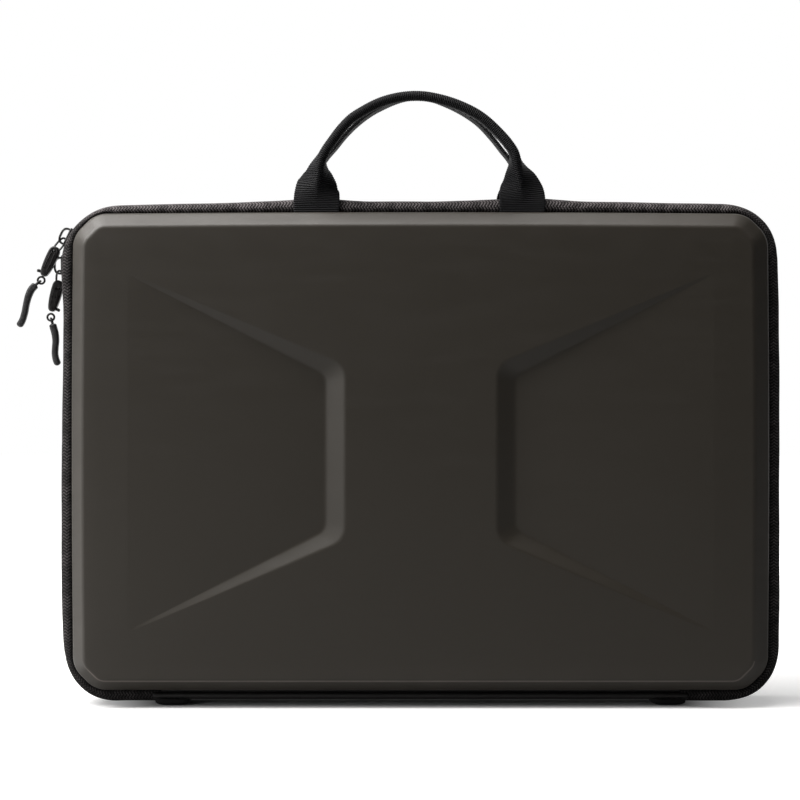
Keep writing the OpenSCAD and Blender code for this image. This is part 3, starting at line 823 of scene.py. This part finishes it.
for hand, word in ((-1, "left"), (1, "right")):
    shape = Shape()
    squarish = np.sign(circle(48)) * np.abs(circle(48)) ** 0.4
    rows = []
    for t in np.linspace(-1, 1, 25):
        swell = (1 - abs(t) ** 3.2) ** (1 / 3.2)
        wide, low, high = 7.6 + 3.4 * swell, 3.2 - 3.2 * swell, 4.6
        ring = squarish * [wide, (high - low) / 2] + [0, (low + high) / 2]
        rows.append(np.insert(ring, 0, hand * FOOT_MID + FOOT_HALF * t, axis=1))
    rows = np.array(rows)
    shape.grid(rows, rows[:, 0, 0], lengths(rows[12], True), caps=True)
    for y in (-1, 1):
        line = [(hand * FOOT_MID + 7.2 * t, y * 11.25, 4.4) for t in np.linspace(-1, 1, 9)]
        stitches(shape, line, (0, y, -0.3), 2.0, 1.0, 0.24)
    foot = shape.build(f"foot_{word}", FOOT_SHADED, None, "zipper_tape", weld=FINE)
    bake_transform(foot)
    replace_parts(foot, f"cover_{word}_front", f"cover_{word}_rear")

# ---------------- handles

WEB_HALF, WEB_T, RIB = 11.9, 1.2, 0.3
TAB_Y, FOLD_OUT = 11.3, 6.0
# Where the webbing starts and ends to fold, and the radius of the fold.
FOLD = {FRONT: (272.0, 302.5, 2.1), REAR: (271.5, 299.0, 0.72)}
ARCH = {
    FRONT: [
        (-56.4, 267.6), (-56.4, 272.0), (-56.2, 278.0), (-55.9, 282.0), (-55.3, 285.0), (-54.7, 289.0),
        (-54.2, 293.0), (-53.2, 296.4), (-51.6, 299.8), (-47.1, 306.5), (-41.5, 313.7), (-36.8, 318.3),
        (-31.2, 321.9), (-20.9, 327.0), (-10.7, 329.6), (-0.4, 330.2), (9.9, 328.7), (20.6, 325.5),
        (31.6, 320.0), (42.0, 311.0), (47.6, 304.6), (50.6, 299.9), (51.9, 295.4), (52.9, 291.0),
        (54.0, 286.5), (54.7, 281.5), (55.2, 277.0), (55.4, 272.0), (55.4, 267.6),
    ],
    REAR: [
        (-57.2, 267.6), (-57.2, 272.0), (-57.1, 278.0), (-56.9, 284), (-56.4, 289), (-55.6, 293.6),
        (-54.4, 297.6), (-51.9, 301.5), (-47.4, 306.7), (-41.8, 313.6), (-34.7, 320.6), (-25.5, 327.2),
        (-19.7, 330.2), (-14.2, 332.6), (-8.7, 334.3), (-0.5, 335.0), (5.4, 334.4), (13.3, 331.7),
        (23.2, 326.9), (32.6, 320.4), (39.8, 312.8), (46.0, 305.0), (50.0, 299.9), (52.3, 295.6),
        (53.6, 291.2), (54.2, 287), (54.5, 283), (54.7, 278.0), (54.8, 272.0), (54.8, 267.6),
    ],
}
ACROSS_WEB = np.concatenate(
    [np.linspace(-WEB_HALF, -4, 10), np.linspace(-3.4, 3.4, 13), np.linspace(4, WEB_HALF, 10)]
)
WEB_EDGE = math.pi * np.linspace(0, 1, 5)[1:-1, None]
STITCHED = (3, len(ACROSS_WEB) - 4)


def fold_section(fold, bend_r, roll):
    """The webbing's middle line and normals across its width: flat at fold 0, doubled back at fold 1."""
    q = ACROSS_WEB
    angle = math.pi / 2 * fold
    if angle < 1e-3:
        return np.stack([q, 0 * q], 1), np.stack([0 * q, 0 * q + 1], 1)
    bend = bend_r * angle
    far, beyond = np.abs(q) > bend, np.abs(q) - bend
    a = np.where(far, 0, q / bend_r)
    turn = angle + 0.1 * fold**3
    x = np.where(far, np.sign(q) * (bend_r * math.sin(angle) + beyond * math.cos(turn)), bend_r * np.sin(a))
    y = np.where(far, -bend_r * (1 - math.cos(angle)) - beyond * math.sin(turn), bend_r * (np.cos(a) - 1))
    heading = np.where(far, np.sign(q) * turn, a)
    c, d = math.cos(roll * fold), math.sin(roll * fold)
    turned = np.array([[c, -d], [d, c]])
    return np.stack([x, y], 1) @ turned, np.stack([np.sin(heading), np.cos(heading)], 1) @ turned


def round_edge(middle, normal, half):
    """Points round one edge of the webbing, from its outer face to its inner one."""
    return middle + half * (np.cos(WEB_EDGE) * normal + np.sin(WEB_EDGE) * normal[::-1] * [1, -1])


for side, word in NAMES.items():
    path = resample(ARCH[side], 0.2)
    u = lengths(path)
    low, high, bend_r = FOLD[side]
    rows, stitch_lines = [], []
    for p, across, run in zip(path, square_to(path), u):
        fold = float(smooth((p[1] - low) / (high - low)))
        roll = 0.15 * (1 - smooth((p[0] - 2) / 26)) if side == FRONT else -0.05
        middle, normal = fold_section(fold, bend_r, roll)
        half = WEB_T / 2 + RIB * (abs(math.sin(math.pi * (run + 0.25))) - 0.6)
        ring = np.concatenate([
            middle + normal * half,
            round_edge(middle[-1], normal[-1], half),
            (middle - normal * half)[::-1],
            round_edge(middle[0], -normal[0], half),
        ])
        row = np.insert(p + ring[:, :1] * across, 1, side * (TAB_Y + FOLD_OUT * fold + ring[:, 1]), axis=1)
        rows.append(row)
        if fold > 0.97:
            stitch_lines.append(row[list(STITCHED)])
    q, edge = ACROSS_WEB, 0.3 * np.arange(1, 4)
    shape = Shape()
    shape.grid(rows, u, np.concatenate([q, q[-1] + edge, q[::-1] + 30, 60 + edge, [61.2]]), caps=True)
    for line, out in zip(np.array(stitch_lines)[::5].transpose(1, 0, 2), (1, -1)):
        stitches(shape, line, (0, 0, out), 2.2, 1.3, 0.18)
    piece = shape.build(f"handle_{word}_webbing", WEBBING, None, "webbing", weld=FINE)
    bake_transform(piece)
    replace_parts(piece, f"handle_{word}", f"tab_{word}_left", f"tab_{word}_right")

# ---------------- storage inside

POCKET_X, POCKET_LOW, POCKET_TOP = 150.0, 38.0, 188.0


def pocket_net():
    """A knitted net: flat strands round holes."""
    shape = Shape()
    pitch, hole = 3.2, 0.62
    columns, rows = int(2 * (POCKET_X - 6) / pitch), int((POCKET_TOP - POCKET_LOW - 12) / pitch)
    i, j = np.indices((columns, rows)).reshape(2, -1)
    centres = np.stack([pitch * (i + 0.5) - pitch * columns / 2, POCKET_LOW + 7 + pitch * (j + 0.5)], 1)
    square = circle(8) / np.abs(circle(8)).max(1)[:, None]
    cell = np.concatenate([square, circle(8) * hole]) * pitch / 2
    x, z = (centres[:, None] + cell).reshape(-1, 2).T
    sag = 0.5 * np.sin(math.pi * (z - POCKET_LOW) / 150) * (0.6 + 0.4 * np.sin(x / 26))
    shape.add(np.stack([x, sag - 13.0, z], 1))
    for start in range(0, len(x), 16):
        for k in range(8):
            a, b = start + k, start + (k + 1) % 8
            shape.face([a, b, b + 8, a + 8])
    return shape


net = pocket_net().build("pocket_net", YARN, "front_half", "mesh", weld=0.01)
thick = net.modifiers.new("strand", "SOLIDIFY")
thick.thickness, thick.offset = 0.35 * MM, 0
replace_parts(net, "mesh_pocket")

shape = Shape()
trim_x, trim_low = POCKET_X - 4.5, POCKET_LOW + 4.5
corners = [(-trim_x, POCKET_TOP), (-trim_x, trim_low, 6), (trim_x, trim_low, 6), (trim_x, POCKET_TOP)]
line = open_path(corners, 6, 4)
tube(shape, np.insert(line, 1, -13.45, axis=1), round_section(9.4, 1.3, 0.55), (0, -1, 0))
for offset in (-3.2, 3.2):
    row = np.insert(line + offset * square_to(line), 1, -12.75, axis=1)
    stitches(shape, row, (0, 1, 0), 2.4, 1.2, 0.24)
trim = shape.build("pocket_trim_ribbon", RIBBON, "front_half", "mesh", weld=FINE)
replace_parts(trim, "pocket_trim")

shape = Shape()
xs = np.linspace(-POCKET_X + 0.5, POCKET_X - 0.5, 240)
gather = 0.22 * np.sin(xs * 1.25 + 1.5 * np.sin(xs / 11)) * smooth((146 - np.abs(xs)) / 10)
path = np.stack([xs, -12.6 + gather, np.full(len(xs), POCKET_TOP - 7)], 1)
tube(shape, path, round_section(1.5, 14, 0.7, 4), (0, 0, 1))
hem = shape.build("pocket_hem_elastic", ELASTIC, "front_half", "elastic")
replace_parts(hem, "pocket_hem")

STRAP_W, STRAP_HALF, STRAP_X, STRAP_Z = 20.0, 43.0, 138.5, 78.5
STRAPS = {"top_left": (-1, 1), "top_right": (1, 1), "bottom_left": (-1, -1), "bottom_right": (1, -1)}
for word, (sx, sz) in STRAPS.items():
    shape = Shape()
    centre = np.array([sx * STRAP_X, MID_Z + sz * STRAP_Z])
    along = unit((1, -sx * sz))
    across = np.array([-along[1], along[0]])
    t = np.linspace(-STRAP_HALF, STRAP_HALF, 87)
    lift = 12.0 + 1.2 * smooth((np.abs(t) - 27) / 10)
    path = np.insert(centre + t[:, None] * along, 1, lift, axis=1)
    tube(shape, path, round_section(1.2, STRAP_W, 0.55), (across[0], 0, across[1]))
    for row in (-36.5, -40.5, 36.5, 40.5):
        line = centre + row * along + np.linspace(-8.6, 8.6, 12)[:, None] * across
        stitches(shape, np.insert(line, 1, 12.5, axis=1), (0, -1, 0), 2.2, 1.0, 0.26)
    strap = shape.build(f"strap_{word}", ELASTIC, "rear_half", "elastic", weld=FINE)
    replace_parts(strap, f"elastic_{word}")

# ---------------- sliders and pulls

ON_CORNER = shift(-CORNER_X, 0, CORNER_Z) @ tilt(25) @ shift(-BAND_R - 0.6, 0, 0)
ON_SIDE = shift(-BAND_X - 0.5, 0, 240.0)
HOOK_LEN, RING_R, WIRE = 17.8, 1.9, 0.58
LANE = 2.6
CIRCLE = circle(12)


def slider(mouth):
    """Top plate with turned-down rims, and the arched bridge that holds the bail."""
    shape = Shape()
    half = 5.5
    low, high = (3.5, 4.4) if mouth > 0 else (4.4, 3.5)
    corners = [(-half, -low, 1.5), (half, -high, 1.5), (half, high, 1.5), (-half, low, 1.5)]
    # The plate is drawn in (z, y) and lies across x.
    plate(shape, [closed_outline(corners, 6, [3, 3, 3, 3])], 0.5, 0.35, 3)
    shape.move(np.array([[0, 1, 0, -0.85], [0, 0, 1, 0], [1, 0, 0, 0], [0, 0, 0, 1]], float))
    middle, taper = (low + high) / 2, (high - low) / (2 * half)
    for y in (-1, 1):
        path = [(-0.75, y * (middle + taper * z - 0.35), z) for z in np.linspace(-half + 1.2, half - 1.2, 8)]
        tube(shape, path, round_section(0.8, 0.9, 0.3), (1, 0, 0))
    half_bridge = [(-0.9, 4.1), (-2.0, 4.3), (-3.3, 4.2), (-4.4, 3.6), (-5.1, 2.3)]
    bridge = resample(half_bridge + [(-5.3, 0)] + [(x, -y) for x, y in half_bridge[::-1]], 0.35)
    thick = 1 + 0.18 * smooth((np.abs(bridge[:, 1]) - 2.6) / 1.2)
    tube(shape, np.insert(bridge, 1, 0, axis=1), round_section(1.0, 2.4, 0.38), (0, 1, 0), scale=thick)
    return shape


def ring_middle(off_x, off_z):
    """The middle of a hook's ring, which follows the bar's offset in part."""
    return np.array([0.6 * off_x, 0.6 * off_z + 0.2 - HOOK_LEN])


def hook(off_x, off_z):
    """A long rounded bar with a hole for the bail at its origin, ribs on its cheeks and a ring below."""
    shape = Shape()
    half = [
        (0.0, 2.6), (1.1, 2.42), (2.1, 1.75), (2.75, 0.5), (3.0, -1.5), (3.05, -4.5), (2.95, -7.5),
        (2.7, -10.2), (2.3, -12.6), (1.6, -14.4), (0.8, -15.0), (0.0, -15.1),
    ]
    right = resample(half, 0.55)
    outline = np.concatenate([right[:-1], (right * [-1, 1])[::-1][:-1]]) + [off_x, off_z]
    plate(shape, [outline, CIRCLE * 0.72], 2.2, 0.9, 5)
    t = np.linspace(-1, 1, 14)
    for y in (-1, 1):
        for x in (-1.15, 1.15):
            path = np.stack([off_x + x * (1 - 0.2 * t**2), np.full(14, y * 2.22), off_z - 6.2 + 5.8 * t], 1)
            tube(shape, path, round_section(0.5, 0.5, 0.2), (0, y, 0), scale=1 - 0.7 * np.abs(t) ** 4)
    ring = ring_middle(off_x, off_z) + RING_R * circle(40)[:, ::-1] * [1, -1]
    tube(shape, np.insert(ring, 1, 0, axis=1), CIRCLE * WIRE, (0, 1, 0), closed=True)
    return shape


def thumb_bolt(side):
    """A small ridged lever that stands out of the hook's side."""
    shape = Shape()
    path = [(side * (1.4 + 2.9 * t), 0, -13.0 - 0.6 * t) for t in np.linspace(0, 1, 9)]
    scale = [1, 1, 1, 1, 0.98, 0.94, 0.98, 0.96, 0.7]
    tube(shape, path, round_section(1.7, 1.5, 0.5), (0, 1, 0), scale=scale)
    for t in (0.62, 0.8):
        ridge = [(side * (1.4 + 2.9 * t), y, -12.2 - 0.6 * t) for y in np.linspace(-0.6, 0.6, 5)]
        tube(shape, ridge, round_section(0.35, 0.35, 0.12), (0, 0, 1))
    return shape


def tail(points, ring):
    """Rubber pull in frame millimetres: a loop round the ring's wire, and a waving strip."""
    shape = Shape()
    path = resample(points, 0.3)
    s = lengths(path)
    total = s[-1]
    ends = np.sqrt(np.clip(1 - (np.clip(s - (total - 1.6), 0, None) / 1.65) ** 2, 0.06, 1))
    start = np.sqrt(np.clip(1 - (np.clip(1.0 - s, 0, None) / 1.12) ** 2, 0.2, 1))
    width = 1.06 - 0.12 * smooth((s - 4) / 9) + 0.04 * smooth((s - total + 6) / 4)
    flat = round_section(3.6, 4.2, 1.25, 5)
    rows = [
        np.insert(p + flat[:, :1] * across * k * w, 1, flat[:, 1] * k, axis=1)
        for p, across, k, w in zip(path, square_to(path), ends * start, width)
    ]
    shape.grid(rows, caps=True)
    # The loop: from the strip's top, round the lowest part of the ring's wire and back.
    top = path[0]
    reach = unit(top - ring)
    wire, back = ring + reach * RING_R, ring + reach * (RING_R - 1.25)
    line = resample([top + reach * 0.5, (top + wire) / 2, wire, back], 0.3)
    spread = 0.55 + 0.75 * np.sin(math.pi * np.clip(np.linspace(0, 1.05, len(line)), 0, 1))
    for y in (-1, 1):
        tube(shape, np.insert(line, 1, y * spread, axis=1), CIRCLE * 0.55, (0, 1, 0))
    tube(shape, [(back[0], y, back[1]) for y in np.linspace(-1.0, 1.0, 5)], CIRCLE * 0.55, (1, 0, 0))
    return shape


def bail(eye, hole, lane):
    """A closed wire from the slider's bridge to the hook's hole, bending across to the hook's lane."""
    eye, hole = np.array(eye), np.array(hole)
    along = unit(hole - eye)
    across = np.array([along[1], -along[0]])
    far = np.linalg.norm(hole - eye)
    shape, path = Shape(), []
    for c, d in circle(64):
        run = far / 2 - (far / 2 + 0.9) * np.sign(c) * abs(c) ** 0.8
        wide = 1.75 * np.sign(d) * abs(d) ** 0.8
        x, z = eye + along * run + across * wide
        path.append((x, lane * float(smooth((run + 0.5) / (far + 0.5))), z))
    tube(shape, path, CIRCLE * WIRE, (0, 1, 0), closed=True)
    # The pin that joins the wire's end through the hook.
    pin = [(hole[0], lane + y, hole[1]) for y in np.linspace(-2.35, 2.35, 9)]
    tube(shape, pin, CIRCLE * 0.64, (1, 0, 0), scale=[0.8, 1, 1, 1, 1, 1, 1, 1, 0.8])
    return shape


# For each pull: its side, the slider's place, the bail's ends, the hook's lean and offset, the tail's line.
PULLS = {
    "upper": (
        -1, ON_CORNER, (-195.9, 254.2), (-200.309, 247.746), 25.0, (0.0, 0.0),
        [
            (-210.6, 229.4), (-212.9, 226.9), (-214.6, 223.4), (-215.8, 218.9), (-216.9, 213.4),
            (-218.1, 209.7), (-220.1, 206.4),
        ],
    ),
    "lower": (
        1, ON_SIDE, (-198.2, 236.3), (-198.813, 227.778), 14.5, (-1.0, 1.6),
        [
            (-202.6, 208.2), (-202.1, 206.2), (-201.2, 202.8), (-200.8, 198.9), (-201.1, 194.9),
            (-201.2, 191.6), (-200.5, 188.0), (-199.3, 185.4),
        ],
    ),
}
for word, (hand, place, eye, hole, lean, off, line) in PULLS.items():
    lane = hand * LANE
    at_hook = shift(hole[0], lane, hole[1]) @ tilt(lean)
    at_bolt = at_hook @ shift(off[0], 0, off[1])
    across, down = ring_middle(*off)
    ring = (at_hook @ np.array([across, 0, down, 1]))[[0, 2]]
    parts = {
        "slider_body": (slider(hand).move(place), METAL, "slider_metal", 0.004),
        "bail_wire": (bail(eye, hole, lane), METAL, "slider_metal", 0.004),
        "hook_bar": (hook(*off).move(at_hook), HOOK, "hook_plastic", FINE),
        "bolt_lever": (thumb_bolt(hand).move(at_bolt), METAL, "slider_metal", FINE),
        "tail_rubber": (tail(line, ring).move(shift(0, lane, 0)), RUBBER, "tail_rubber", FINE),
    }
    for name, (shape, material, slot, weld) in parts.items():
        part, kind = name.split("_")
        piece = shape.build(f"{part}_{word}_{kind}", material, f"{word}_{part}", slot, weld)
        if part == "slider":
            piece.data.set_sharp_from_angle(angle=math.radians(50))
        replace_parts(piece, f"{part}_{word}")

# ---------------- floor, backdrop, lamps, camera


def floor_material(name, lit):
    """White to the camera. Near the object the share lit is real light, and under it all is."""
    material = bpy.data.materials.new(name)
    material.use_nodes = True
    material.node_tree.nodes.clear()
    net = Net(material.node_tree)
    camera_ray, shiny = net.rays()
    x, y, _ = net.split(net.place())
    side, depth = net.size(x), net.size(y)
    away = net.math("SQRT", net.math("ADD", net.times(x, x), net.times(y, y)))
    share = net.fit(away, 0.45, 0.9, (1 - lit, 1.05))
    clear = net.math("MAXIMUM", net.fit(depth, 0.006, 0.023), net.fit(side, 0.135, 0.185))
    seen = net.times(camera_ray, net.times(share, clear))
    mirrored = net.times(shiny, net.fit(y, 0.05, 0.6, (0.04, 1.0)))
    glow = net.node("Emission", {"Color": WHITE, "Strength": net.math("ADD", seen, mirrored)})[0]
    beside = net.times(net.fit(x, -0.19, -0.24), net.fit(depth, 0.25, 0.1))
    unseen = net.mix(beside, (0.3, 0.3, 0.3, 1), (0.95, 0.95, 0.95, 1))
    matt = net.node("BsdfDiffuse", {"Color": net.mix(camera_ray, unseen, (0.9, 0.9, 0.9, 1))})[0]
    net.node("OutputMaterial", {"Surface": net.node("AddShader", {0: glow, 1: matt})[0]})
    return material


mesh = bpy.data.meshes.new("floor")
mesh.from_pydata([(-4, -4, 0), (4, -4, 0), (4, 4, 0), (-4, 4, 0)], [], [(0, 1, 2, 3)])
mesh.materials.append(floor_material("floor_white", 0.6))
floor = bpy.data.objects.new("floor", mesh)
bpy.context.scene.collection.objects.link(floor)

# The backdrop is white to the camera, nearly dark to the object, and bright behind it in mirrors.
world = bpy.data.worlds.new("studio")
bpy.context.scene.world = world
world.use_nodes = True
world.node_tree.nodes.clear()
net = Net(world.node_tree)
camera_ray, shiny = net.rays()
behind = net.fit(net.split(net.node("TexCoord")["Generated"])["Y"], 0.2, 0.9, (0.02, 1.0))
strength = net.mix_values(camera_ray, net.mix_values(shiny, 0.03, behind), 1.0)
net.node("OutputWorld", {"Surface": net.node("Background", {"Color": WHITE, "Strength": strength})[0]})

AIM = Vector((0, 0, 0.15))
WARM = (1, 0.985, 0.97)
# Name, place and size in metres, power in watts, colour.
LAMPS = [
    ("key_upper_left", (-1.0, -0.25, 1.1), (0.7, 0.7), 18.0, WARM),
    ("top_left", (-0.5, -0.2, 1.3), (0.8, 0.6), 11.7, WARM),
    ("top", (0.0, -0.2, 1.3), (0.6, 0.6), 5.5, WARM),
    ("top_right", (0.6, -0.2, 1.3), (0.8, 0.6), 0.6, WARM),
    ("left", (-1.3, -0.14, 0.28), (0.6, 0.8), 2.8, (1, 1, 1)),
    ("front_left", (-1.1, -1.1, 0.3), (0.8, 0.8), 4.1, WARM),
]
for name, place, size, power, color in LAMPS:
    light = bpy.data.lights.new(name, "AREA")
    light.shape = "RECTANGLE"
    light.size, light.size_y = size
    light.energy, light.color = power, color
    lamp = bpy.data.objects.new(name, light)
    lamp.location = place
    lamp.rotation_euler = (AIM - Vector(place)).to_track_quat("-Z", "Y").to_euler()
    bpy.context.scene.collection.objects.link(lamp)

LENS_WIDTH, VIEW_WIDTH, DISTANCE = 36.0, 0.4344, 0.9
camera_data = bpy.data.cameras.new("camera")
camera_data.sensor_width = LENS_WIDTH
camera_data.lens = LENS_WIDTH * DISTANCE / VIEW_WIDTH
camera = bpy.data.objects.new("camera", camera_data)
camera.location = (-0.0111, -0.011 - DISTANCE, 0.1662)
camera.rotation_euler = (math.pi / 2, 0, 0)
bpy.context.scene.collection.objects.link(camera)
bpy.context.scene.camera = camera
bpy.context.scene.view_settings.view_transform = "Standard"

bpy.context.view_layer.update()
